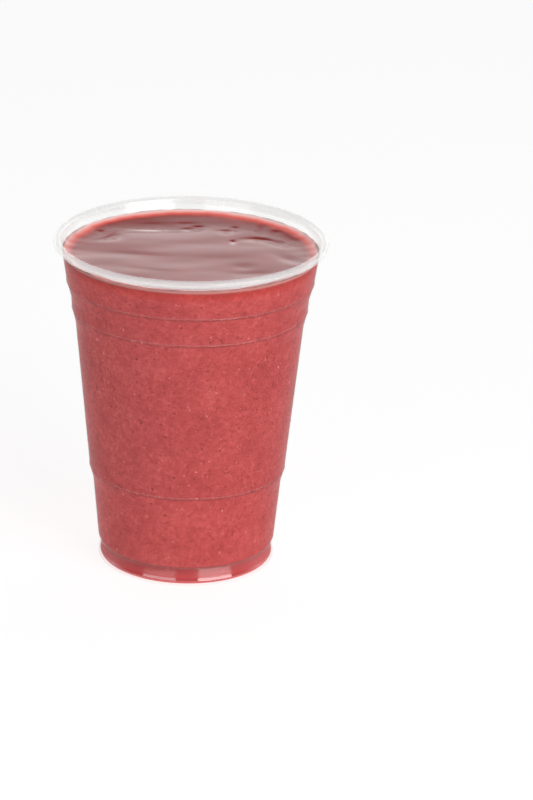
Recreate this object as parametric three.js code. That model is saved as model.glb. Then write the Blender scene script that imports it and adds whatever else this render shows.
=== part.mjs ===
// A clear thermoformed plastic cup, stepped for stacking, filled with berry smoothie almost to its rim.
// Millimetres, +Z up. The origin is at the middle of the foot ring, on the surface that the cup stands on.
import * as THREE from 'three';

// Driving dimensions
const RIM_DIAMETER = 98;
const CUP_HEIGHT = 121.5;
const SHEET = 0.5;
const ROLL_RADIUS = 1.44;
const FOOT_DIAMETER = 64.1;
const DRINK_LEVEL = 115.7;
const AROUND = 60;

// The wall's outer face, as runs from the rolled rim down: each one's drop, and the radius it loses per
// millimetre of drop
const WALL_TOP = CUP_HEIGHT - 2.2;
const LIP_RUN = { drop: 13.6, taper: 0.147 };
const UPPER_STEP = { drop: 5.2, taper: 0.29 };
const STACKING_BAND = { drop: 5.2, taper: 0.095 };
const MIDDLE_STEP = { drop: 4.7, taper: 0.255 };
const GRIP_RUN = { drop: 55.7, taper: 0.0996 };
const LOWER_STEP = { drop: 4.5, taper: 0.28 };
const BASE_BAND = { drop: 22.8, taper: 0.0915 };
const WALL_RUNS = [LIP_RUN, UPPER_STEP, STACKING_BAND, MIDDLE_STEP, GRIP_RUN, LOWER_STEP, BASE_BAND];

// The rolled rim: the sheet turns outwards over the top and its edge ends just clear of the wall
const ROLL_CENTRE_R = RIM_DIAMETER / 2 - ROLL_RADIUS;
const ROLL_CENTRE_Z = CUP_HEIGHT - ROLL_RADIUS;
const ROLL_TURN = THREE.MathUtils.degToRad(300);
const ROLL_STEPS = 10;
const ROLL_LEAD_IN = 0.18;

// The foot, below the wall: a ledge turns in under the wall, a cone spreads from it to a bead, and the bead
// turns in to the flat ring that the cup stands on. Inside that ring the base panel is pushed up, and the
// drink fills the channel round it.
const FOOT_RADIUS = FOOT_DIAMETER / 2;
const LEDGE = { outer: FOOT_RADIUS - 0.1, outerZ: 7.05, inner: FOOT_RADIUS - 1.7, innerZ: 6.7 };
const CONE_END = { r: FOOT_RADIUS - 0.45, z: 4.0 };
const BEAD = { upper: 2.6, lower: 1.4, under: 0.5, rounding: 0.35, sheet: 0.8 };
const RING = { outer: FOOT_RADIUS - 0.95, inner: FOOT_RADIUS - 2.95, edge: 0.35 };
const PANEL = { r: FOOT_RADIUS - 4.4, z: 4.2, crown: 1.3, steps: 4 };

// The drink stands clear of the plastic by this much, and climbs the wall in a curved edge
const CLEARANCE = 0.32;
const EDGE_RISE = 1.4;
const EDGE_REACH = 2.0;
const SURFACE_RINGS = [0.985, 0.96, 0.925, 0.87, 0.79, 0.68, 0.56, 0.43, 0.29, 0.14];

// Waves left in the drink's surface by pouring: length from crest to crest, height, direction and start
const WAVES = [
  { length: 31, height: 0.13, turn: 1.25, start: 0.6 },
  { length: 19, height: 0.09, turn: 1.75, start: 2.1 },
  { length: 44, height: 0.11, turn: 0.4, start: 4.0 },
];
// Folds sunk into the thick surface: where each is, how far it runs, its width, height and direction
const FOLDS = [
  { x: -13, y: 27, run: 9, width: 3.0, height: -0.25, turn: 0.07 },
  { x: 28, y: 15, run: 8, width: 3.0, height: -0.2, turn: -0.4 },
  { x: -20, y: -3.4, run: 10, width: 4.5, height: -0.3, turn: -0.13 },
];
const CALM_NEAR_WALL = { from: 0.5, to: 8 };
const SAME_LEVEL = 1e-4;

const point = (r, z) => new THREE.Vector2(r, z);

// Outer face of the wall from under the roll to above the foot
function outerWall() {
  const points = [point(ROLL_CENTRE_R - ROLL_RADIUS + ROLL_LEAD_IN, WALL_TOP)];
  for (const run of WALL_RUNS) {
    const last = points[points.length - 1];
    points.push(point(last.x - run.drop * run.taper, last.y - run.drop));
  }
  return points;
}

// Points of an arc about a centre, from one angle to another
function arc(centreR, centreZ, radius, from, to, steps) {
  return Array.from({ length: steps + 1 }, (_, i) => {
    const angle = from + ((to - from) * i) / steps;
    return point(centreR + radius * Math.cos(angle), centreZ + radius * Math.sin(angle));
  });
}

// A face of the roll, from the wall over the top and out and down to the sheet's edge
const rollFace = (radius) =>
  arc(ROLL_CENTRE_R, ROLL_CENTRE_Z, radius, Math.PI, Math.PI - ROLL_TURN, ROLL_STEPS);

// A line of points moved sideways by a distance, square to each of its runs
function offset(points, distance) {
  const sideways = points.slice(1).map((p, i) => {
    const run = p.clone().sub(points[i]).normalize();
    return point(run.y, -run.x);
  });
  return points.map((p, i) => {
    const before = sideways[Math.max(0, i - 1)];
    const after = sideways[Math.min(sideways.length - 1, i)];
    const middle = before.clone().add(after).normalize();
    return p.clone().addScaledVector(middle, distance / middle.dot(before));
  });
}

// The wall's outer face, the ledge under it and the cone that spreads to the bead
const wallAndCone = () => [
  ...outerWall(),
  point(LEDGE.outer, LEDGE.outerZ),
  point(LEDGE.inner, LEDGE.innerZ),
  point(CONE_END.r, CONE_END.z),
];

// The base panel from its edge in to the middle, with its crown
function crownedPanel(edgeR, edgeZ) {
  return Array.from({ length: PANEL.steps + 1 }, (_, i) => {
    const share = 1 - i / PANEL.steps;
    return point(edgeR * share, edgeZ + PANEL.crown * (1 - share * share));
  });
}

// Outer face of the foot from the bead down, over the ring and under the base panel to the middle
function footOutside() {
  return [
    point(FOOT_RADIUS, BEAD.upper),
    point(FOOT_RADIUS, BEAD.lower),
    point(FOOT_RADIUS - BEAD.rounding, BEAD.under),
    point(RING.outer, 0),
    point(RING.inner, 0),
    point(RING.inner - RING.edge, RING.edge),
    ...crownedPanel(PANEL.r, PANEL.z),
  ];
}

// Inner face of the foot: the sheet is thicker behind the bead, and the channel is as deep as the ring
function footInside() {
  return [
    point(FOOT_RADIUS - BEAD.sheet, BEAD.upper),
    point(FOOT_RADIUS - BEAD.sheet, BEAD.lower),
    point(FOOT_RADIUS - 2 * SHEET, 2 * SHEET),
    point(RING.outer - SHEET, SHEET),
    point(RING.inner + SHEET / 2, SHEET),
    point(RING.inner, 2 * SHEET),
    ...crownedPanel(PANEL.r + SHEET, PANEL.z + SHEET),
  ];
}

const innerFace = () => [...offset(wallAndCone(), SHEET), ...footInside()];

// Height of the drink's surface over its level at a place: the curved edge, the waves and the folds
function relief(x, y, wallRadius) {
  const fromWall = wallRadius - Math.hypot(x, y);
  const calm = THREE.MathUtils.smoothstep(fromWall, CALM_NEAR_WALL.from, CALM_NEAR_WALL.to);
  let height = EDGE_RISE * Math.exp(-fromWall / EDGE_REACH);
  for (const { length, height: rise, turn, start } of WAVES) {
    const along = x * Math.cos(turn) + y * Math.sin(turn);
    height += calm * rise * Math.sin((2 * Math.PI * along) / length + start);
  }
  for (const { x: midX, y: midY, run, width, height: rise, turn } of FOLDS) {
    const along = (x - midX) * Math.cos(turn) + (y - midY) * Math.sin(turn);
    const across = (y - midY) * Math.cos(turn) - (x - midX) * Math.sin(turn);
    height += calm * rise * Math.exp(-((along / run) ** 2) - (across / width) ** 2);
  }
  return height;
}

// Turns a profile of radius and height about the vertical axis
function turned(profile) {
  return new THREE.LatheGeometry(profile, AROUND).rotateX(Math.PI / 2);
}

function cup() {
  const outside = [...wallAndCone(), ...footOutside()].reverse();
  const roll = [...rollFace(ROLL_RADIUS - SHEET), ...rollFace(ROLL_RADIUS).reverse()];
  const material = new THREE.MeshStandardMaterial({
    color: 0xf2f4f4,
    roughness: 0.08,
    metalness: 0,
    transparent: true,
    opacity: 0.3,
  });
  const mesh = new THREE.Mesh(turned([...outside, ...roll, ...innerFace()]), material);
  mesh.name = 'cup';
  return mesh;
}

function smoothie() {
  const [lip, ...belowLip] = offset(innerFace(), CLEARANCE);
  belowLip[belowLip.length - 1].x = 0;
  const edgeRadius = lip.x - (lip.y - DRINK_LEVEL - EDGE_RISE) * LIP_RUN.taper;
  const surface = [1, ...SURFACE_RINGS, 0].map((share) => point(edgeRadius * share, DRINK_LEVEL));
  const geometry = turned([...belowLip.reverse(), ...surface]);
  const places = geometry.getAttribute('position');
  for (let i = 0; i < places.count; i += 1) {
    const onSurface = Math.abs(places.getZ(i) - DRINK_LEVEL) < SAME_LEVEL;
    if (onSurface) {
      places.setZ(i, DRINK_LEVEL + relief(places.getX(i), places.getY(i), edgeRadius));
    }
  }
  const material = new THREE.MeshStandardMaterial({ color: 0xbe5453, roughness: 0.35, metalness: 0 });
  const mesh = new THREE.Mesh(geometry, material);
  mesh.name = 'smoothie';
  return mesh;
}

const cupOfSmoothie = new THREE.Group();
cupOfSmoothie.add(cup(), smoothie());

export default cupOfSmoothie;
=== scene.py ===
import math

import bpy
import numpy as np
from bpy.props import FloatProperty, FloatVectorProperty, IntProperty, PointerProperty
from bpy.types import Operator, Panel, PropertyGroup
from mathutils import Matrix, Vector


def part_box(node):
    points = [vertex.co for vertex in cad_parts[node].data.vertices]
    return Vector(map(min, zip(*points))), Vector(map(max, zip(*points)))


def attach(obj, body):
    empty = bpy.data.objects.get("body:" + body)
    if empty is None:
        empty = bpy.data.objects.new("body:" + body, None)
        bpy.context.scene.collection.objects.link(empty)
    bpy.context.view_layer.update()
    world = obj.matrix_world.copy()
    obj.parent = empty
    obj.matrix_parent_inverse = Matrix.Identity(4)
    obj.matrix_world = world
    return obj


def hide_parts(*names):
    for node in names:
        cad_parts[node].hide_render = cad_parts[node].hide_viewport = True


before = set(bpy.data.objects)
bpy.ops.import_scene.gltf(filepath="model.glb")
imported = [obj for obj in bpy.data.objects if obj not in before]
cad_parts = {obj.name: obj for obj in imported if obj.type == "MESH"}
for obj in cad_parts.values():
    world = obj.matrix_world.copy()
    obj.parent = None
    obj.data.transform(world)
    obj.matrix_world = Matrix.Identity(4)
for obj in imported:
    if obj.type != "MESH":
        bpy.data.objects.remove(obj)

bl_info = {
    "name": "Berry smoothie in a clear cup",
    "version": (1, 0, 0),
    "blender": (4, 5, 0),
    "location": "3D View > Sidebar > Smoothie",
    "description": "A clear stepped plastic cup, full of thick berry smoothie, on a pale floor",
    "category": "Add Mesh",
}

MM = 0.001
# The places round the axis at which the cup and the drink have points
AZIMUTHS = np.linspace(0, 2 * math.pi, 264, endpoint=False)
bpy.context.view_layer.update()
CUP_LOW, CUP_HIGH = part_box("cup")


# Sizes and colours that a user would change

class CupSizes(PropertyGroup):
    """The cup's own sizes. The wall's steps keep their place under the rim."""

    rim_diameter: FloatProperty(
        name="Rim diameter", description="Across the rolled rim, outside",
        default=CUP_HIGH[0] - CUP_LOW[0], unit="LENGTH", subtype="DISTANCE")
    height: FloatProperty(
        name="Height", description="From the foot ring to the top of the rim",
        default=CUP_HIGH[2] - CUP_LOW[2], unit="LENGTH", subtype="DISTANCE")
    sheet: FloatProperty(
        name="Sheet", description="Thickness of the plastic wall",
        default=0.5 * MM, unit="LENGTH", subtype="DISTANCE")
    roll_radius: FloatProperty(
        name="Roll radius", description="Radius of the rolled rim's round section",
        default=1.44 * MM, unit="LENGTH", subtype="DISTANCE")
    foot_diameter: FloatProperty(
        name="Foot diameter", description="Across the bead of the foot",
        default=64.1 * MM, unit="LENGTH", subtype="DISTANCE")
    plastic_tint: FloatVectorProperty(
        name="Plastic tint", description="What the clear sheet lets through",
        default=(0.99, 0.994, 0.992), size=3, min=0, max=1, subtype="COLOR")


class DrinkLooks(PropertyGroup):
    """The smoothie's fill, its colours and what floats in it."""

    level: FloatProperty(
        name="Level", description="Height of the drink's calm surface over the foot ring",
        default=115.7 * MM, unit="LENGTH", subtype="DISTANCE")
    edge_rise: FloatProperty(
        name="Edge rise", description="How far the drink climbs the wall",
        default=1.4 * MM, unit="LENGTH", subtype="DISTANCE")
    berry: FloatVectorProperty(
        name="Berry", description="The blended fruit, as seen through the wall",
        default=(0.505, 0.053, 0.053), size=3, min=0, max=1, subtype="COLOR")
    deep: FloatVectorProperty(
        name="Deep", description="The darkest of the blended fruit",
        default=(0.29, 0.019, 0.020), size=3, min=0, max=1, subtype="COLOR")
    pale: FloatVectorProperty(
        name="Pale", description="Froth and pulp that the blender left",
        default=(0.70, 0.13, 0.12), size=3, min=0, max=1, subtype="COLOR")
    # The film colour is painted light: how bright the thin edge is where light comes through it
    film: FloatVectorProperty(
        name="Film", description="The thin edge of the drink, where light comes through it",
        default=(1.0, 0.76, 0.73), size=3, min=0, max=1, subtype="COLOR")
    seed_colour: FloatVectorProperty(
        name="Seeds", description="Crushed seeds and skin",
        default=(0.24, 0.018, 0.020), size=3, min=0, max=1, subtype="COLOR")
    seeds: IntProperty(
        name="Seed bits", description="How many bits of seed and skin lie against the wall",
        default=600, min=0, max=3000)
    froth: IntProperty(
        name="Froth specks", description="How many pale specks of froth lie against the wall",
        default=700, min=0, max=3000)


class StageLooks(PropertyGroup):
    """The floor and the lights round the cup."""

    floor: FloatVectorProperty(
        name="Floor", description="The pale floor",
        default=(0.35, 0.35, 0.35), size=3, min=0, max=1, subtype="COLOR")
    floor_glow: FloatProperty(
        name="Floor glow", description="How much light the floor gives back as a light table does",
        default=0.86, min=0, max=4)
    left_light: FloatProperty(
        name="Left light", description="Power of the soft light on the left",
        default=3.4, min=0, max=400, unit="POWER")
    right_light: FloatProperty(
        name="Right light", description="Power of the soft light on the right",
        default=14.8, min=0, max=400, unit="POWER")
    backdrop: FloatProperty(
        name="Backdrop", description="Brightness of the white backdrop behind the cup",
        default=1.22, min=0, max=10)


# Node trees written as Python

class Value:
    """One output of a node. Arithmetic on it adds the Math nodes that work it out."""

    def __init__(self, tree, socket):
        self.tree = tree
        self.socket = socket

    def _math(self, operation, *terms):
        return self.tree.add("ShaderNodeMath", {"operation": operation}, dict(enumerate(terms)))

    def __add__(self, other):
        return self._math("ADD", self, other)

    def __sub__(self, other):
        return self._math("SUBTRACT", self, other)

    def __mul__(self, other):
        return self._math("MULTIPLY", self, other)

    def __pow__(self, other):
        return self._math("POWER", self, other)

    def __rsub__(self, other):
        return self._math("SUBTRACT", other, self)

    def __rpow__(self, other):
        return self._math("POWER", other, self)

    __radd__ = __add__
    __rmul__ = __mul__

    def least(self, other):
        return self._math("MINIMUM", self, other)


class Tree:
    """A material's or the world's nodes."""

    # The Mix node's sockets for colours
    FACTOR, FIRST, SECOND, RESULT = 0, 6, 7, 2

    def __init__(self, owner):
        owner.use_nodes = True
        self.nodes = owner.node_tree.nodes
        self.links = owner.node_tree.links
        self.nodes.clear()

    def add(self, kind, settings=None, inputs=None, out=0):
        """Makes any node, with its settings first and then its sockets, and gives one of its outputs."""
        node = self.nodes.new(kind)
        for name, value in (settings or {}).items():
            setattr(node, name, value)
        for name, value in (inputs or {}).items():
            if isinstance(value, Value):
                self.links.new(value.socket, node.inputs[name])
            else:
                node.inputs[name].default_value = value
        return Value(self, node.outputs[out]) if len(node.outputs) else None

    def blend(self, factor, first, second, mode="MIX"):
        """Two colours mixed by a factor, as the Mix node does it."""
        rgba = [c if isinstance(c, Value) else (*c, 1.0) for c in (first, second)]
        settings = {"data_type": "RGBA", "blend_type": mode}
        inputs = {self.FACTOR: factor, self.FIRST: rgba[0], self.SECOND: rgba[1]}
        return self.add("ShaderNodeMix", settings, inputs, out=self.RESULT)

    def rise(self, value, low, high, smooth=True):
        """0 at low, 1 at high, and a smooth or an even rise between; a fall if low is over high."""
        kind = "SMOOTHSTEP" if smooth else "LINEAR"
        inputs = {"Value": value, "From Min": low, "From Max": high}
        return self.add("ShaderNodeMapRange", {"interpolation_type": kind}, inputs)

    def noise(self, place, size, detail, rough=0.5, seed=0.0):
        """Cloudy noise whose lumps are about size metres across, from 0 to 1 about a half.

        The seed moves it, so that two noises of one size don't share their lumps.
        """
        shift = (seed, seed * 0.7, -seed)
        moved = self.add("ShaderNodeVectorMath", {"operation": "ADD"}, {0: place, 1: shift})
        inputs = {"Vector": moved, "Scale": 1.0 / size, "Detail": detail, "Roughness": rough}
        return self.add("ShaderNodeTexNoise", {}, inputs)

    def mix_shader(self, factor, first, second):
        """The first shader where the factor is 0, and the second where it is 1."""
        return self.add("ShaderNodeMixShader", {}, {0: factor, 1: first, 2: second})

    def band(self, value, middle, half):
        """1 at the middle, and a smooth fall to 0 at half on either side."""
        return self.rise(value, middle - half, middle) * self.rise(value, middle + half, middle)

    def zone(self, z, foot_of_rise, top_of_rise, top_of_fall, foot_of_fall):
        """1 between two heights, with a smooth rise under the first and a fall over the second."""
        rising = self.rise(z, foot_of_rise * MM, top_of_rise * MM)
        return rising * self.rise(z, foot_of_fall * MM, top_of_fall * MM)

    def place(self):
        """Object coordinates, and their numbers that say how far back and how high a point is."""
        where = self.add("ShaderNodeTexCoord", out="Object")
        return where, *self.parts(where)[1:]

    def parts(self, vector):
        """A vector's three numbers."""
        split = self.add("ShaderNodeSeparateXYZ", {}, {"Vector": vector}).socket.node
        return [Value(self, split.outputs[i]) for i in range(3)]

    def surface(self, shader):
        """Makes the shader the material's surface."""
        self.add("ShaderNodeOutputMaterial", {}, {"Surface": shader})


def new_material(name):
    """An empty material, and its node tree."""
    material = bpy.data.materials.new(name)
    return material, Tree(material)


# Shapes worked out with numpy

def rounded(points, reach, steps):
    """A line of points with each inner corner turned into a curve.

    A corner P becomes the quadratic curve a(1-s)^2 + 2P s(1-s) + b s^2, where a and b lie reach before
    and after P on its two runs, but never past four tenths of a run.
    """
    most = 0.4
    points = np.asarray(points, float)
    runs = np.diff(points, axis=0)
    lengths = np.linalg.norm(runs, axis=1, keepdims=True)
    way = runs / lengths
    reach = np.broadcast_to(np.asarray(reach, float), len(points))[1:-1, None]
    before = points[1:-1] - way[:-1] * np.minimum(reach, most * lengths[:-1])
    after = points[1:-1] + way[1:] * np.minimum(reach, most * lengths[1:])
    s = np.linspace(0, 1, steps)[None, :, None]
    corners = points[1:-1, None]
    curves = before[:, None] * (1 - s) ** 2 + 2 * corners * s * (1 - s) + after[:, None] * s**2
    return np.concatenate([points[:1], curves.reshape(-1, 2), points[-1:]])


def stepped(points, step, extra=()):
    """The same line with a point at least every step along it, and at the extra lengths along it."""
    along = np.concatenate([[0], np.cumsum(np.linalg.norm(np.diff(points, axis=0), axis=1))])
    stops = np.unique(np.round(np.concatenate([along, np.arange(0, along[-1], step), extra]), 6))
    return np.stack([np.interp(stops, along, points[:, k]) for k in (0, 1)], axis=1)


def beside(points, distance):
    """The line moved sideways by distance, towards its right hand, square to each of its runs."""
    runs = np.diff(points, axis=0)
    runs /= np.linalg.norm(runs, axis=1, keepdims=True)
    square = np.stack([runs[:, 1], -runs[:, 0]], axis=1)
    before = np.concatenate([square[:1], square])
    after = np.concatenate([square, square[-1:]])
    middle = before + after
    middle /= np.linalg.norm(middle, axis=1, keepdims=True)
    return points + middle * (distance / np.sum(middle * before, axis=1))[:, None]


def turned(profile):
    """A profile of radius and height carried round the upright axis: (r cos a, r sin a, z)."""
    r, z = profile[:, 0, None], profile[:, 1, None]
    z = np.broadcast_to(z, (len(profile), len(AZIMUTHS)))
    return np.stack([r * np.cos(AZIMUTHS), r * np.sin(AZIMUTHS), z], axis=2)


def round_mesh(name, grid, tags=None):
    """A closed mesh from a grid of rows round the axis, whose first and last rows lie on the axis.

    The rows between are joined by four-sided faces, and each end row is one point with a fan to it. The
    tags give the number of the material of the faces that start at each row.
    """
    rows, around = grid.shape[:2]
    inner = grid[1:-1].reshape(-1, 3)
    verts = np.concatenate([grid[:1, 0], inner, grid[-1:, 0]])
    ring = np.arange(around)
    follow = np.roll(ring, -1)
    start = 1 + around * np.arange(rows - 3)[:, None]
    above = start + around
    quads = np.stack([start + ring, start + follow, above + follow, above + ring], axis=2)
    last = 1 + around * (rows - 3)
    low = np.stack([np.zeros(around, int), 1 + follow, 1 + ring], axis=1)
    high = np.stack([np.full(around, len(verts) - 1), last + ring, last + follow], axis=1)
    mesh = bpy.data.meshes.new(name)
    faces = [*low.tolist(), *quads.reshape(-1, 4).tolist(), *high.tolist()]
    mesh.from_pydata(verts.tolist(), [], faces)
    if tags is not None:
        of_quads = np.repeat(tags[1:-2], around)
        each = np.concatenate([np.full(around, tags[0]), of_quads, np.full(around, tags[-2])])
        mesh.polygons.foreach_set("material_index", each.astype(np.int32))
    return finish_mesh(mesh)


def finish_mesh(mesh):
    """The mesh, shaded smooth and checked."""
    mesh.polygons.foreach_set("use_smooth", np.ones(len(mesh.polygons), bool))
    mesh.validate()
    mesh.update()
    return mesh


def put(name, mesh, slot, *materials, instead_of=()):
    """The mesh as a piece of the cup, at the origin, riding on its one body."""
    piece = bpy.data.objects.new(name, mesh)
    bpy.context.scene.collection.objects.link(piece)
    for material in materials:
        mesh.materials.append(material)
    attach(piece, "root")
    if instead_of:
        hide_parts(*instead_of)
    return piece


# The cup's profile, in millimetres, as radius and height

# The wall's runs from the roll down: each one's drop, and the radius it loses per millimetre of drop
WALL_DROPS = np.array([13.6, 5.2, 5.2, 4.7, 55.7, 4.5, 22.8])
WALL_TAPERS = np.array([0.147, 0.29, 0.095, 0.255, 0.0996, 0.28, 0.0915])
WALL_TOP_DROP = 2.2
ROLL_LEAD_IN = 0.18
ROLL_TURN = math.radians(300)
# How far each corner of the wall, ledge and cone is rounded along its runs
CORNER_REACH = np.array([0.5, 0.6, 0.6, 0.6, 0.7, 0.6, 0.7, 0.8, 0.64, 0.4, 0.3])
# The corners that have a fine ridge, and its height; it tops out this far over the corner
RIDGES = ((1, 0.15), (3, 0.13), (5, 0.13))
RIDGE_OVER = 0.2
RIDGE_HALF = 0.3
# Extra rows about a ridge's top, as heights, and the wall's length for each millimetre of height
RIDGE_ROWS = np.linspace(-0.8, 0.8, 13)
LENGTH_PER_DROP = 1.005
# The foot, as how far in from its widest radius and how far up from the floor: the ledge and the cone,
# the bead's outer face and its inner one, the flat ring's edges, and the base panel's edge and crown
LEDGE_AND_CONE = np.array([[0.1, 6.7], [1.7, 6.4], [0.5, 2.8]])
BEAD = np.array([[0.5, 2.8], [0.12, 1.8], [0, 1.0], [0.12, 0.35], [0.5, 0]])
BEAD_BACK = np.array([[1.0, 2.65], [0.8, 1.9], [0.8, 1.4], [1.0, 1.0]])
RING_OUTER, RING_INNER, RING_EDGE = 0.95, 2.95, 0.35
PANEL_IN, PANEL_Z, PANEL_CROWN = 4.4, 4.2, 1.3
# How far the corners of the foot's outer and inner faces are rounded
FOOT_REACH = [0, 0.25, 0.3, 0.3, 0.2, 0.2, 0.2, 0]
FOOT_INSIDE_REACH = [0, 0.3, 0.3, 0.3, 0.3, 0.2, 0.2, 0]


def wall_corners(sizes):
    """The wall's outer corners from under the roll down to above the foot.

    Each run drops by its own length and loses its taper times that drop in radius.
    """
    top = np.array([sizes.rim_diameter / 2 / MM - 2 * sizes.roll_radius / MM + ROLL_LEAD_IN,
                    sizes.height / MM - WALL_TOP_DROP])
    fall = np.cumsum(np.stack([WALL_DROPS * WALL_TAPERS, WALL_DROPS], axis=1), axis=0)
    return np.concatenate([top[None], top - fall])


def on_foot(sizes, places):
    """Places on the foot, given as how far in and how far up, as radius and height."""
    places = np.asarray(places, float)
    return np.stack([sizes.foot_diameter / 2 / MM - places[:, 0], places[:, 1]], axis=1)


def wall_and_cone(sizes):
    """The wall's corners, the ledge that turns in under it and the cone that spreads to the bead."""
    return np.concatenate([wall_corners(sizes), on_foot(sizes, LEDGE_AND_CONE)])


def wall_outside(sizes):
    """The wall's outer face and the cone under it. On the outer corner over each step is a fine ridge
    height exp(-((z - top) / half)^2), and the line has more points there."""
    wall = wall_corners(sizes)
    tops = np.array([wall[corner, 1] + RIDGE_OVER for corner, _ in RIDGES])
    near = (wall[0, 1] - tops[:, None] + RIDGE_ROWS).ravel() * LENGTH_PER_DROP
    line = rounded(wall_and_cone(sizes), CORNER_REACH, steps=6)
    smooth = stepped(line, step=3.0, extra=near)
    for top, (_, height) in zip(tops, RIDGES):
        smooth[:, 0] += height * np.exp(-(((smooth[:, 1] - top) / RIDGE_HALF) ** 2))
    return smooth


def wall_inside(sizes):
    """The wall's inner face, which has the outer face's corners without their ridges."""
    line = rounded(wall_and_cone(sizes), CORNER_REACH, steps=3)
    return beside(stepped(line, step=6.0), sizes.sheet / MM)


def crowned_panel(edge, steps=12):
    """The base panel from its edge in to the middle: z rises by crown (1 - (r / edge)^2)."""
    share = np.linspace(1, 0, steps)
    return np.stack([edge[0] * share, edge[1] + PANEL_CROWN * (1 - share**2)], axis=1)


def foot_outside(sizes):
    """The foot's outer face: the bead, the flat ring, the rise inside the ring and the base panel."""
    ring = [[RING_INNER, 0], [RING_INNER + RING_EDGE, RING_EDGE], [PANEL_IN, PANEL_Z]]
    corners = on_foot(sizes, [*BEAD, *ring])
    bead = stepped(rounded(corners, FOOT_REACH, steps=6), step=1.0)
    return np.concatenate([bead[1:], crowned_panel(corners[-1])[1:]])


def foot_inside(sizes):
    """The foot's inner face: thicker plastic behind the bead, the channel over the ring, the panel."""
    sheet = sizes.sheet / MM
    channel = [[RING_OUTER + sheet, sheet], [RING_INNER - sheet / 2, sheet], [RING_INNER, 2 * sheet],
               [PANEL_IN - sheet, PANEL_Z + sheet]]
    corners = on_foot(sizes, [*BEAD_BACK, *channel])
    channel = stepped(rounded(corners, FOOT_INSIDE_REACH, steps=4), step=2.0)
    return np.concatenate([channel[1:], crowned_panel(corners[-1])[1:]])


def roll(sizes, radius, steps=32):
    """A face of the rolled rim: a circle's arc from the wall over the top, out and down to the edge."""
    turn = np.linspace(math.pi, math.pi - ROLL_TURN, steps)
    centre_r = (sizes.rim_diameter / 2 - sizes.roll_radius) / MM
    centre_z = (sizes.height - sizes.roll_radius) / MM
    return np.stack([centre_r + radius * np.cos(turn), centre_z + radius * np.sin(turn)], axis=1)


WALL_WAVES = (
    # height, waves round the cup, millimetres of height per radian, start
    (0.030, 2, 23, 0.6),
    (0.018, 5, -17, 2.0),
    (0.010, 9, 9, 0.0),
)
# The waves grow over the first heights, die away over the second, and leave what lies inside the
# radius alone
WAVES_GROW, WAVES_DIE = (8, 28), (98, 112)
FLOOR_RADIUS = 30


def wall_wave(azimuth, z):
    """How far the thin wall wanders from round: a few long sine waves round it and along it."""
    (low, grown), (dying, high) = WAVES_GROW, WAVES_DIE
    calm = np.clip((z - low) / (grown - low), 0, 1) * np.clip((high - z) / (high - dying), 0, 1)
    return calm * sum(tall * np.sin(round_it * azimuth + z / along + start)
                      for tall, round_it, along, start in WALL_WAVES)


def waved(grid):
    """The grid, in millimetres, with the wall's waves added along its radius."""
    r = np.hypot(grid[..., 0], grid[..., 1])
    azimuth = np.arctan2(grid[..., 1], grid[..., 0])
    share = 1 + wall_wave(azimuth, grid[..., 2]) * (r > FLOOR_RADIUS) / np.maximum(r, 1)
    return np.stack([grid[..., 0] * share, grid[..., 1] * share, grid[..., 2]], axis=-1)


# The drink's surface

WAVES = np.array([
    # length, height, turn, start
    [31, 0.040, 1.25, 0.6],
    [19, 0.018, 1.75, 2.1],
    [44, 0.060, 0.40, 4.0],
    [13.5, 0.010, 1.45, 0.3],
    [9.5, 0.005, 1.95, 5.1],
    [16.0, 0.020, -1.30, 1.7],
    [7.3, 0.003, -1.65, 0.9],
])
FOLDS = np.array([
    # x, y, run, near width, far width, height, turn, bend
    [-14.0, 27.8, 18.0, 4.0, 6.5, -0.42, 0.05, 0.0],
    [25.6, 16.3, 5.6, 2.9, 1.6, -0.30, -0.30, 0.050],
    [33.0, 13.2, 2.6, 2.4, 1.3, -0.20, -0.80, 0.030],
    [33.4, 10.4, 4.0, 2.6, 1.6, -0.20, -0.42, 0.0],
    [35.2, 17.3, 5.0, 4.5, 1.6, -0.24, -1.06, -0.02],
    [25.0, 26.5, 4.6, 1.6, 1.6, -0.26, 1.50, 0.03],
    [30.5, 24.6, 2.6, 4.0, 1.3, -0.20, -0.40, 0.0],
    [12.8, 25.0, 3.0, 4.0, 1.3, -0.18, 0.05, -0.03],
    [16.0, 28.7, 1.4, 3.5, 1.4, -0.26, 0.30, 0.0],
    [2.4, 29.7, 2.0, 3.5, 1.2, -0.20, -0.10, 0.0],
    [-1.4, 27.8, 2.4, 3.5, 1.1, -0.17, 0.05, 0.0],
    [15.0, 13.4, 1.0, 2.5, 1.2, -0.24, 0.0, 0.0],
    [-33.0, 21.6, 1.8, 3.5, 1.4, -0.32, 0.20, 0.0],
    [-29.0, 16.2, 4.4, 3.5, 1.5, -0.34, 1.15, -0.05],
    [-14.0, 32.0, 5.5, 3.0, 1.6, -0.09, 0.05, 0.0],
    [-2.0, 33.0, 4.0, 3.0, 1.4, -0.12, -0.02, 0.0],
    [-20.0, -3.4, 10.0, 6.0, 3.4, -0.20, -0.13, 0.006],
    [-12.5, -20.8, 10.0, 5.0, 2.8, -0.12, -0.20, -0.01],
    [21.0, -21.6, 7.0, 5.0, 2.6, -0.12, 0.05, 0.0],
    [34.4, -5.6, 6.0, 2.6, 3.4, -0.18, -0.87, -0.01],
    [18.6, -14.6, 4.0, 3.4, 4.0, -0.14, -0.66, 0.0],
])
EDGE_REACH = 3.0
EDGE_WAVES = (
    # share of the edge's rise, waves round the cup, start
    (0.07, 7, 1),
    (0.06, 17, 0),
    (0.05, 41, 2),
)
# The waves and folds start this far from the wall, and are whole this much farther in
CALM_WIDTH = 0.5
WAVES_OVER = 7.5
FOLDS_OVER = 3


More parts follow.
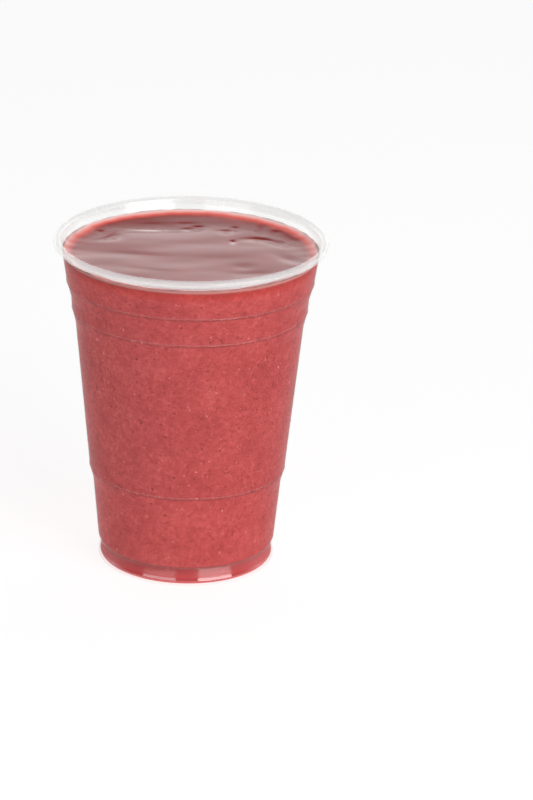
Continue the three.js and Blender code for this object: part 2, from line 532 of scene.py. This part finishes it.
def relief(x, y, edge_r, rise):
    """How far the drink's surface stands over its level, in millimetres.

    It is an edge that dies away from the wall as rise exp(-distance / reach), uneven by sine waves round
    the cup, plus sine waves across the surface, plus folds. Each fold is
    height exp(-(along / run)^2 - ((across + bend along^2) / width)^2) about its own middle, with one
    width before its line and another past it.
    """
    from_wall = edge_r - np.hypot(x, y)
    azimuth = np.arctan2(y, x)
    uneven = 1 + sum(share * np.sin(round_it * azimuth + start) for share, round_it, start in EDGE_WAVES)
    height = rise * uneven * np.exp(-from_wall / EDGE_REACH)
    calm = np.clip((from_wall - CALM_WIDTH) / WAVES_OVER, 0, 1)
    calm = calm * calm * (3 - 2 * calm)
    for length, tall, turn, start in WAVES:
        along = x * np.cos(turn) + y * np.sin(turn)
        height = height + calm * tall * np.sin(2 * np.pi * along / length + start)
    near = np.clip((from_wall - CALM_WIDTH) / FOLDS_OVER, 0, 1)
    for mid_x, mid_y, run, before, past, tall, turn, bend in FOLDS:
        along = (x - mid_x) * np.cos(turn) + (y - mid_y) * np.sin(turn)
        across = (y - mid_y) * np.cos(turn) - (x - mid_x) * np.sin(turn)
        bent = across + bend * along**2
        width = np.where(bent < 0, before, past)
        height = height + near * tall * np.exp(-((along / run) ** 2) - (bent / width) ** 2)
    return height


# How far the drink reaches into the plastic of the wall and of the foot, and the heights on the wall
# where the first ends and the second starts
INTO_WALL, INTO_FOOT = 0.3, 0.1
WALL_PART_TO, FOOT_PART_FROM = 7.65, 7.45


def drink_side(sizes):
    """The drink's side and underside, from the rim down to the middle, just inside the plastic."""
    wall = beside(wall_outside(sizes), sizes.sheet / MM - INTO_WALL)
    cone = beside(wall_inside(sizes), -INTO_FOOT)
    foot = beside(foot_inside(sizes), -INTO_FOOT)
    foot[-1, 0] = 0
    return np.concatenate([wall[wall[:, 1] > WALL_PART_TO], cone[cone[:, 1] < FOOT_PART_FROM], foot])


# Materials

# Heights of the parts of the cup that look different, in millimetres, as Tree.zone takes them
BEAD_ZONE = (1.2, 1.8, 2.6, 3.0)
CONE_ZONE = (2.6, 3.2, 6.2, 7.0)
ROLL_FROM, ROLL_ALL = 118.3, 118.9
# How far from a ridge's top lie its painted highlight line and the painted shade line under it,
# and half their widths
PAINTED_HIGHLIGHT_OVER, PAINTED_HIGHLIGHT_HALF = 0.40, 0.45
PAINTED_SHADE_UNDER, PAINTED_SHADE_HALF = 0.30, 0.50
WHITE = (1, 1, 1, 1)
MILKY = (0.96, 0.96, 0.96, 1)
SLANTED_TINT = (0.62, 0.635, 0.61, 1)


def clear_plastic(sizes):
    """Clear sheet: each face mirrors a little, more at a slant, passes the rest and hazes it slightly.

    The sheet has faint upright ripples and small scuffs. The ridge over each step has a painted
    highlight line of white haze, with a painted shade line under it. The bead mirrors more, and the cone
    is duller.
    The rolled rim has no scuff, mirrors less at a slant, and is milky, with a painted glow of its own
    that stands in for the light it gathers from the sheet.
    """
    material, tree = new_material("clear thermoformed plastic")
    where, _, z = tree.place()
    slant = tree.add("ShaderNodeLayerWeight", {}, {"Blend": 0.5}, out="Facing")
    in_roll = tree.rise(z, ROLL_FROM * MM, ROLL_ALL * MM)
    bead, cone = tree.zone(z, *BEAD_ZONE), tree.zone(z, *CONE_ZONE)

    stretched = tree.add("ShaderNodeMapping", {}, {"Vector": where, "Scale": (1, 1, 0.25)})
    drawn = tree.noise(stretched, 3.5 * MM, detail=3, seed=0.31) * (1 - in_roll)
    normal = tree.add("ShaderNodeBump", {}, {"Strength": 0.3, "Distance": 0.05 * MM, "Height": drawn})
    scuffs = tree.rise(tree.noise(where, 1.6 * MM, detail=5, rough=0.7, seed=0.77), 0.60, 0.74)
    scuffs = scuffs * (1 - in_roll)
    # Painted light at each ridge: a painted highlight line of white haze over its top, and a painted
    # shade line of darker tint under it
    painted_highlight_line, painted_shade_line = 0.0, 0.0
    for corner, _ in RIDGES:
        top = wall_corners(sizes)[corner, 1] + RIDGE_OVER
        painted_highlight_line = tree.band(z, (top + PAINTED_HIGHLIGHT_OVER) * MM, PAINTED_HIGHLIGHT_HALF * MM) + painted_highlight_line
        painted_shade_line = tree.band(z, (top - PAINTED_SHADE_UNDER) * MM, PAINTED_SHADE_HALF * MM) + painted_shade_line

    clear = tree.add("ShaderNodeBsdfTransparent", {}, {"Color": (*sizes.plastic_tint, 1)})
    slanted = tree.add("ShaderNodeBsdfTransparent", {}, {"Color": SLANTED_TINT})
    # Darker at a slant, and darker in the painted shade line under each ridge
    darkened = slant**4 * (0.7 - in_roll * 0.6) + painted_shade_line * 0.6
    through = tree.mix_shader(darkened.least(1.0), clear, slanted)

    matt = tree.add("ShaderNodeBsdfDiffuse", {}, {"Color": MILKY})
    lit_through = tree.add("ShaderNodeBsdfTranslucent", {}, {"Color": MILKY})
    # A painted glow in the rolled rim: it gives off light of its own, though it is no lamp
    painted_rim_glow = tree.add("ShaderNodeEmission", {}, {"Color": WHITE, "Strength": 1.05})
    haze = tree.mix_shader(in_roll * 0.35, tree.mix_shader(0.5, matt, lit_through), painted_rim_glow)
    # The painted highlight line over each ridge is white haze
    hazy = 0.006 + scuffs * 0.02 + in_roll * 0.26 + painted_highlight_line * 0.11
    hazed = tree.mix_shader(hazy, through, haze)

    rough = 0.035 + scuffs * 0.08 + in_roll * 0.12 + bead * 0.04 + cone * 0.13
    mirror = tree.add("ShaderNodeBsdfGlossy", {}, {"Color": WHITE, "Roughness": rough, "Normal": normal})
    mirrored = 0.035 + slant**5 * (0.3 - in_roll * 0.2) + bead * 0.10 + cone * 0.015
    tree.surface(tree.mix_shader(mirrored, hazed, mirror))
    return material


def berry_colour(tree, where, looks):
    """Blended fruit: slow clouds, pulp and fine grain about the berry colour, and dark and pale dots."""
    clouds = tree.noise(where, 14 * MM, detail=2, seed=0.13)
    pulp = tree.noise(where, 2.6 * MM, detail=2, rough=0.6, seed=0.41)
    grain = tree.noise(where, 0.85 * MM, detail=2, rough=0.7, seed=0.87)
    dots = tree.noise(where, 1.4 * MM, detail=1, rough=0.4, seed=0.59)
    tone = (clouds - 0.5) * 0.7 + (pulp - 0.5) * 1.0 + (grain - 0.5) * 1.3
    dark = tree.rise(tone * -1.0, 0.0, 0.8, smooth=False) + tree.rise(dots, 0.37, 0.27) * 0.5
    light = tree.rise(tone, 0.0, 0.8, smooth=False) + tree.rise(dots, 0.64, 0.76) * 0.3
    body = tree.blend(dark.least(1.0), tuple(looks.berry), tuple(looks.deep))
    return tree.blend(light.least(1.0), body, tuple(looks.pale))


def about_level(tree, z, looks, low, high, smooth=True):
    """A rise between two heights that are given as millimetres over the drink's level."""
    return tree.rise(z, looks.level + low * MM, looks.level + high * MM, smooth=smooth)


def thin_edge(tree, z, looks, shader):
    """The shader, which fades to nothing where the drink's edge thins out on the wall."""
    top = looks.edge_rise / MM
    gone = about_level(tree, z, looks, top - 0.35, top + 0.15, smooth=False) * 0.85
    return tree.mix_shader(gone, shader, tree.add("ShaderNodeBsdfTransparent"))


def drink_in_wall(looks):
    """The smoothie as it lies against the plastic, with no shine of its own, since the wall has it.

    Light and shade are painted into its colour. It is brighter near the foot and near the level, painted
    light from the floor below and from the surface above; redder just under the level, painted red light
    that comes down through the surface; and paler where its edge is a film on the wall, painted light
    that comes through the film. In the foot it is one clear red that darkens upwards, painted shade
    under the ledge.
    """
    material, tree = new_material("smoothie against the wall")
    where, _, z = tree.place()
    # Painted light: brighter towards the foot, for light from the floor, and near the level, for light
    # from the surface above
    painted_light = tree.rise(z, 60 * MM, 12 * MM) * 0.5 + about_level(tree, z, looks, -16, 0) * 0.2
    body = tree.blend(painted_light, berry_colour(tree, where, looks), (1.16, 1.10, 1.08), "MULTIPLY")
    # Painted red light: redder just under the level, for light that comes down through the surface
    painted_red_light = about_level(tree, z, looks, -4.0, -0.6)
    body = tree.blend(painted_red_light, body, (1.0, 0.6, 0.5), "MULTIPLY")
    # Painted shade in the foot: its red darkens upwards into the shade under the ledge
    low_in_foot = tree.rise(z, 6.8 * MM, 2.4 * MM)
    foot_red_with_painted_shade = tree.blend(low_in_foot, (0.40, 0.070, 0.068), (0.66, 0.090, 0.094))
    body = tree.blend(tree.rise(z, 7.6 * MM, 6.8 * MM), body, foot_red_with_painted_shade)
    # Painted light: the thin film at the edge is paler, for light that comes through it
    film = about_level(tree, z, looks, 0.1, 1.4, smooth=False)
    inputs = {
        "Base Color": tree.blend(film, body, (0.92, 0.46, 0.42)),
        "Roughness": 0.8,
        "Specular IOR Level": 0.0,
        "IOR": 1.35,
    }
    tree.surface(thin_edge(tree, z, looks, tree.add("ShaderNodeBsdfPrincipled", {}, inputs)))
    return material


def drink_on_top(looks):
    """The smoothie's open surface: wet and faintly lumpy.

    Where it climbs the wall it is dark at first, then thin, then a film that lets light through. That
    light is painted, as a paler colour and a weak painted glow, stronger on the far side. On the near
    side that edge is dull instead of wet.
    """
    material, tree = new_material("smoothie surface")
    where, y, z = tree.place()
    clouds = tree.noise(where, 9 * MM, detail=2, seed=0.23)
    open_colour = tree.blend(clouds, (0.51, 0.042, 0.038), (0.72, 0.062, 0.055))
    edge = about_level(tree, z, looks, 0.12, 0.38)
    far = tree.rise(y, -5 * MM, 28 * MM)
    thin = about_level(tree, z, looks, 0.26, 0.62, smooth=False)
    gone = about_level(tree, z, looks, 0.58, 1.25, smooth=False) * (0.5 + far * 0.5)
    # Painted light in the edge's colour: dark at first, then paler where light comes through the thin
    # film
    film = tree.blend(thin, (0.36, 0.025, 0.020), (0.88, 0.13, 0.10))
    film = tree.blend(gone, film, tuple(looks.film))
    # A painted glow along the edge, stronger on the far side, where the backdrop is behind it
    lit = edge * (0.4 + far * 0.6)
    colours = {
        "Base Color": tree.blend(edge, open_colour, film),
        "Emission Color": tree.blend(lit, (0, 0, 0), film),
        "Emission Strength": 0.46,
    }
    lumps = tree.noise(where, 2.4 * MM, detail=2, rough=0.5, seed=0.57)
    bump = tree.add("ShaderNodeBump", {}, {"Strength": 0.08, "Distance": 0.05 * MM, "Height": lumps})
    wet = tree.add(
        "ShaderNodeBsdfPrincipled", {}, {**colours, "Roughness": 0.06, "IOR": 1.38, "Normal": bump})
    dull = tree.add(
        "ShaderNodeBsdfPrincipled", {}, {**colours, "Roughness": 0.6, "Specular IOR Level": 0.1})
    near_edge = about_level(tree, z, looks, 0.20, 0.50) * tree.rise(y, -14 * MM, -30 * MM)
    tree.surface(thin_edge(tree, z, looks, tree.mix_shader(near_edge, wet, dull)))
    return material


def speck_material(name, colour, other, rough):
    """Small bits in one material: the colour wanders between two from bit to bit."""
    material, tree = new_material(name)
    where = tree.add("ShaderNodeTexCoord", out="Object")
    vary = tree.rise(tree.noise(where, 5 * MM, detail=1, seed=0.2), 0.35, 0.65)
    inputs = {
        "Base Color": tree.blend(vary, colour, other),
        "Roughness": rough,
        "Specular IOR Level": 0.0,
    }
    tree.surface(tree.add("ShaderNodeBsdfPrincipled", {}, inputs))
    return material


# Small bits

def bit_shape(rows=3, around=6):
    """A ball of a few dozen faces: rows of points (sin p cos a, sin p sin a, cos p) and two ends."""
    polar = np.linspace(0, math.pi, rows + 2)[1:-1, None]
    azimuth = np.linspace(0, 2 * math.pi, around + 1)[None, :-1]
    points = np.stack([np.sin(polar) * np.cos(azimuth), np.sin(polar) * np.sin(azimuth),
                       np.broadcast_to(np.cos(polar), (rows, around))], axis=2).reshape(-1, 3)
    verts = np.concatenate([[[0, 0, 1]], points, [[0, 0, -1]]])
    ring = np.arange(around)
    follow = np.roll(ring, -1)
    last = 1 + around * (rows - 1)
    fans = [np.stack([np.zeros(around, int), 1 + ring, 1 + follow], axis=1),
            np.stack([np.full(around, len(verts) - 1), last + follow, last + ring], axis=1)]
    for row in range(1, last, around):
        below = row + around
        fans.append(np.stack([row + ring, below + ring, below + follow], axis=1))
        fans.append(np.stack([row + ring, below + follow, row + follow], axis=1))
    return verts, np.concatenate(fans)


def scattered(name, centres, outward, sizes, spin):
    """Many bits as one mesh: each is the ball, stretched to its sizes along, across and out, turned to
    lie on the side whose outward direction is given, and spun about that direction."""
    verts, faces = bit_shape()
    across = np.cross([[0, 0, 1.0]], outward)
    across /= np.linalg.norm(across, axis=1, keepdims=True)
    along = np.cross(outward, across)
    turn = spin[:, None]
    first = across * np.cos(turn) + along * np.sin(turn)
    second = along * np.cos(turn) - across * np.sin(turn)
    scaled = verts[None] * sizes[:, None]
    places = centres[:, None]
    for k, way in enumerate((first, second, outward)):
        places = places + scaled[..., k:k + 1] * way[:, None]
    each = faces[None] + (np.arange(len(centres)) * len(verts))[:, None, None]
    mesh = bpy.data.meshes.new(name)
    mesh.from_pydata((places.reshape(-1, 3) * MM).tolist(), [], each.reshape(-1, 3).tolist())
    return finish_mesh(mesh)


# The wall widens upwards, so that the direction out of it looks down by this much
DOWNWARD = 0.1
# The bits lie this deep under the drink's face, from this height to this far under its level
BIT_DEPTH = 0.02
BITS_FROM, BITS_UNDER_LEVEL = 9, 1.5
# Half their lengths, their width as a share of that, each from and to, and half their thickness
SEED_LENGTHS, FROTH_LENGTHS = (0.28, 0.62), (0.15, 0.42)
BIT_WIDTHS = (0.6, 0.95)
BIT_HALF_THICKNESS = 0.11
RANDOM_START = 17


def on_side(side, azimuth, z):
    """Places for bits on the drink's side, and the directions out of it."""
    rows = side[np.argsort(side[:, 1])]
    r = np.interp(z, rows[:, 1], rows[:, 0]) - BIT_DEPTH + wall_wave(azimuth, z)
    centres = np.stack([r * np.cos(azimuth), r * np.sin(azimuth), z], axis=1)
    outward = np.stack([np.cos(azimuth), np.sin(azimuth), np.full_like(z, -DOWNWARD)], axis=1)
    return centres, outward / np.linalg.norm(outward, axis=1, keepdims=True)


# The plainest bits in the wall, as degrees to the right of the front, height and radius in millimetres
SEED_MARKS = [
    (-27, 102, 0.5), (-24, 109.5, 0.5), (-33, 107.5, 0.45), (-24, 79, 0.5), (-20, 78, 0.55),
    (-7, 77, 0.45), (-10, 72, 0.5), (-7, 69, 0.45), (-35, 63.5, 0.5), (-41, 93, 0.5), (5, 111, 0.5),
    (20, 108, 0.5), (38, 104, 0.55), (13, 108, 0.45), (37, 85.5, 0.5), (10, 97, 0.45), (34, 82, 0.45),
    (28, 69, 0.5), (-13, 28, 0.6), (-11.5, 25, 0.55), (-13.5, 18, 0.6), (-8.5, 17, 0.5), (60, 15, 0.5),
    (-21.5, 32, 0.5)]
FROTH_MARKS = [
    (-52, 91.5, 0.5), (-56, 86, 0.4), (-48, 87, 0.55), (-49, 84, 0.4), (-44, 85, 0.4),
    (-23, 95.5, 0.4), (-28, 95.5, 0.4), (-33, 99, 0.35), (-46, 76, 0.4), (-51, 72.5, 0.45),
    (10, 99, 0.4), (29, 97, 0.4), (52, 82, 0.5), (66, 73, 0.5), (72, 84, 0.5), (37, 87, 0.4),
    (43, 112, 0.45), (10, 90, 0.4), (14, 77, 0.35), (22, 29.5, 0.45), (6, 35.5, 0.45),
    (-51, 8.6, 0.5), (22, 12.5, 0.55)]


# Operators

class SMOOTHIE_OT_cup(Operator):
    """Makes the clear cup: its profile from the base panel over the foot, wall and rolled rim, and back
    down the inside, carried round the axis."""

    bl_idname = "smoothie.cup"
    bl_label = "Cup"

    def execute(self, context):
        sizes = context.scene.smoothie_cup
        sheet, radius = sizes.sheet / MM, sizes.roll_radius / MM
        outside = np.concatenate([wall_outside(sizes), foot_outside(sizes)])[::-1]
        rolled = np.concatenate([roll(sizes, radius - sheet), roll(sizes, radius)[::-1]])
        inside = np.concatenate([wall_inside(sizes), foot_inside(sizes)])
        grid = waved(turned(np.concatenate([outside, rolled, inside]))) * MM
        put("clear_cup", round_mesh("clear_cup", grid), "clear_plastic", clear_plastic(sizes),
            instead_of=["cup"])
        return {"FINISHED"}


# The drink's side ends at this share of its edge's rise, and its surface's rows lie closer near the wall
SIDE_SHARE = 0.3
SURFACE_ROWS = 1 - np.linspace(0, 1, 150) ** 1.5


class SMOOTHIE_OT_drink(Operator):
    """Makes the smoothie: up its side from the channel in the foot, over the edge that climbs the wall,
    and in over the waves and folds of its surface to the middle."""

    bl_idname = "smoothie.drink"
    bl_label = "Smoothie"

    def execute(self, context):
        sizes, looks = context.scene.smoothie_cup, context.scene.smoothie_drink
        level, rise = looks.level / MM, looks.edge_rise / MM
        side = drink_side(sizes)
        edge_r = float(np.interp(level + rise, side[::-1, 1], side[::-1, 0]))
        below = side[side[:, 1] < level + SIDE_SHARE * rise][::-1]
        top = np.stack([edge_r * SURFACE_ROWS, np.full_like(SURFACE_ROWS, level)], axis=1)
        surface = turned(top)
        surface[..., 2] += relief(surface[..., 0], surface[..., 1], edge_r, rise)
        if surface[..., 2].max() > sizes.height / MM:
            raise RuntimeError("the drink stands over the rim: lower its level or its edge")
        grid = np.concatenate([waved(turned(below)), surface])
        tags = np.array([0] * len(below) + [1] * len(top))
        put("berry_smoothie", round_mesh("berry_smoothie", grid * MM, tags), "berry_smoothie",
            drink_in_wall(looks), drink_on_top(looks), instead_of=["smoothie"])
        return {"FINISHED"}


class SMOOTHIE_OT_bits(Operator):
    """Scatters crushed seeds and specks of froth against the wall, each in one mesh."""

    bl_idname = "smoothie.bits"
    bl_label = "Seeds and froth"

    def execute(self, context):
        sizes, looks = context.scene.smoothie_cup, context.scene.smoothie_drink
        side = drink_side(sizes)
        rng = np.random.default_rng(RANDOM_START)

        def lay(name, marks, count, lengths, colours, rough):
            """Marks, each with an azimuth, a height and a size of its own, and count more at random."""
            low, high = lengths
            marks = np.array(marks)
            azimuth = np.concatenate([np.radians(marks[:, 0] - 90), rng.uniform(0, 2 * math.pi, count)])
            top = looks.level / MM - BITS_UNDER_LEVEL
            z = np.concatenate([marks[:, 1], rng.uniform(BITS_FROM, top, count)])
            centres, outward = on_side(side, azimuth, z)
            length = low + (high - low) * rng.uniform(0, 1, count) ** 2
            length = np.concatenate([marks[:, 2], length])
            width = length * rng.uniform(*BIT_WIDTHS, len(z))
            flat = np.stack([length, width, np.full(len(z), BIT_HALF_THICKNESS)], axis=1)
            mesh = scattered(name, centres, outward, flat, rng.uniform(0, math.pi, len(z)))
            put(name, mesh, "berry_smoothie", speck_material(name, *colours, rough))

        dark = (tuple(looks.seed_colour), (0.37, 0.030, 0.031))
        lay("seed_bits", SEED_MARKS, looks.seeds, SEED_LENGTHS, dark, rough=0.6)
        pale = (tuple(looks.pale), (0.76, 0.27, 0.26))
        lay("froth_specks", FROTH_MARKS, looks.froth, FROTH_LENGTHS, pale, rough=0.5)
        return {"FINISHED"}


# The floor's size from its middle, and how far it lies under the foot
FLOOR_HALF = 4.0
FLOOR_UNDER = 0.05 * MM
# The soft lights: degrees to the right of the camera and above the floor, width and height in metres
LEFT_LIGHT = (-34, 17, 1.24, 0.52)
RIGHT_LIGHT = (39, 22, 1.30, 1.10)
LIGHT_DISTANCE = 1.6
LIGHT_AIM = np.array([0, 0, 0.06])
# The view of the photograph: how far it is turned, tipped and rolled, in radians, where it is from, and
# the lens and the sensor's width in millimetres
YAW, PITCH, TILT = 0.02355, 0.36942, 0.02616
CAMERA_PLACE = np.array([0, -1.2, 0.5247])
LENS, SENSOR = 160.0, 36.0


class SMOOTHIE_OT_stage(Operator):
    """Makes the pale floor, the light from all round, two soft lights and the camera."""

    bl_idname = "smoothie.stage"
    bl_label = "Stage"

    def execute(self, context):
        looks = context.scene.smoothie_stage
        self.floor(looks)
        self.world(context.scene, looks)
        self.soft_light("left soft light", *LEFT_LIGHT, looks.left_light)
        self.soft_light("right soft light", *RIGHT_LIGHT, looks.right_light)
        self.camera(context.scene)
        return {"FINISHED"}

    def floor(self, looks):
        """A flat sheet just under the foot, pale and lit from within as a light table is."""
        corners = [(x * FLOOR_HALF, y * FLOOR_HALF, -FLOOR_UNDER)
                   for x, y in ((-1, -1), (1, -1), (1, 1), (-1, 1))]
        mesh = bpy.data.meshes.new("floor")
        mesh.from_pydata(corners, [], [(0, 1, 2, 3)])
        material, tree = new_material("pale floor")
        matt = tree.add("ShaderNodeBsdfDiffuse", {}, {"Color": (*looks.floor, 1)})
        glow = tree.add("ShaderNodeEmission", {}, {"Color": WHITE, "Strength": looks.floor_glow})
        tree.surface(tree.add("ShaderNodeAddShader", {}, {0: matt, 1: glow}))
        mesh.materials.append(material)
        floor = bpy.data.objects.new("floor", mesh)
        bpy.context.scene.collection.objects.link(floor)

    def world(self, scene, looks):
        """Light from all round, told by how far back and how far up a direction points.

        Behind the cup is a white backdrop, brightest near the floor and dimmer in two steps above it.
        A weaker glow lies along the horizon all round, and the rest of the room is nearly dark.
        """
        world = bpy.data.worlds.new("studio")
        scene.world = world
        tree = Tree(world)
        _, back, up = tree.parts(tree.add("ShaderNodeTexCoord", out="Generated"))
        behind = 2.7 - tree.rise(up, 0.27, 0.57, smooth=False) * 1.5 - tree.rise(up, 0.10, 0.25) * 1.2
        strength = 0.03 + behind * tree.rise(back, 0.1, 0.7) * looks.backdrop
        strength = strength + tree.rise(up, 0.13, 0.04) * 0.7
        light = tree.add("ShaderNodeBackground", {}, {"Color": WHITE, "Strength": strength})
        tree.add("ShaderNodeOutputWorld", {}, {"Surface": light})

    def soft_light(self, name, azimuth, elevation, width, height, power):
        """A soft box that looks at the cup, from the right of the camera and above the floor."""
        lamp = bpy.data.lights.new(name, "AREA")
        lamp.shape = "RECTANGLE"
        lamp.size, lamp.size_y = width, height
        lamp.energy = power
        a, e = math.radians(azimuth), math.radians(elevation)
        way = np.array([math.sin(a) * math.cos(e), -math.cos(a) * math.cos(e), math.sin(e)])
        right = np.array([math.cos(a), math.sin(a), 0])
        place = LIGHT_AIM + LIGHT_DISTANCE * way
        self.aim(bpy.data.objects.new(name, lamp), place, right, np.cross(way, right), way)

    def camera(self, scene):
        """The view of the photograph, through a long lens."""
        flat = np.array([math.sin(YAW), math.cos(YAW), 0])
        way = math.cos(PITCH) * flat - np.array([0, 0, math.sin(PITCH)])
        level = np.array([math.cos(YAW), -math.sin(YAW), 0])
        over = np.cross(level, way)
        right = math.cos(TILT) * level + math.sin(TILT) * over
        up = -math.sin(TILT) * level + math.cos(TILT) * over
        lens = bpy.data.cameras.new("camera")
        lens.lens, lens.sensor_width, lens.sensor_fit = LENS, SENSOR, "AUTO"
        lens.clip_start, lens.clip_end = 0.05, 50
        camera = bpy.data.objects.new("camera", lens)
        self.aim(camera, CAMERA_PLACE, right, up, -way)
        scene.camera = camera
        scene.view_settings.view_transform = "Standard"

    @staticmethod
    def aim(thing, place, right, up, back):
        """Sets a light or the camera at its place, with its three axes given."""
        columns = np.eye(4)
        columns[:3] = np.stack([right, up, back, place], axis=1)
        thing.matrix_world = Matrix(columns.tolist())
        bpy.context.scene.collection.objects.link(thing)


class SMOOTHIE_PT_pieces(Panel):
    """Lists the makers of the cup's pieces and their settings."""

    bl_label = "Smoothie"
    bl_category = "Smoothie"
    bl_space_type = "VIEW_3D"
    bl_region_type = "UI"

    def draw(self, context):
        for settings, makers in ((context.scene.smoothie_cup, [SMOOTHIE_OT_cup]),
                                 (context.scene.smoothie_drink, [SMOOTHIE_OT_drink, SMOOTHIE_OT_bits]),
                                 (context.scene.smoothie_stage, [SMOOTHIE_OT_stage])):
            box = self.layout.box()
            for name in settings.__annotations__:
                box.prop(settings, name)
            for maker in makers:
                box.operator(maker.bl_idname)


CLASSES = (CupSizes, DrinkLooks, StageLooks, SMOOTHIE_OT_cup, SMOOTHIE_OT_drink, SMOOTHIE_OT_bits,
           SMOOTHIE_OT_stage, SMOOTHIE_PT_pieces)


def register():
    for each in CLASSES:
        bpy.utils.register_class(each)
    bpy.types.Scene.smoothie_cup = PointerProperty(type=CupSizes)
    bpy.types.Scene.smoothie_drink = PointerProperty(type=DrinkLooks)
    bpy.types.Scene.smoothie_stage = PointerProperty(type=StageLooks)


def unregister():
    del bpy.types.Scene.smoothie_stage
    del bpy.types.Scene.smoothie_drink
    del bpy.types.Scene.smoothie_cup
    for each in reversed(CLASSES):
        bpy.utils.unregister_class(each)


def main():
    register()
    bpy.ops.smoothie.cup()
    bpy.ops.smoothie.drink()
    bpy.ops.smoothie.bits()
    bpy.ops.smoothie.stage()


if __name__ == "__main__":
    main()
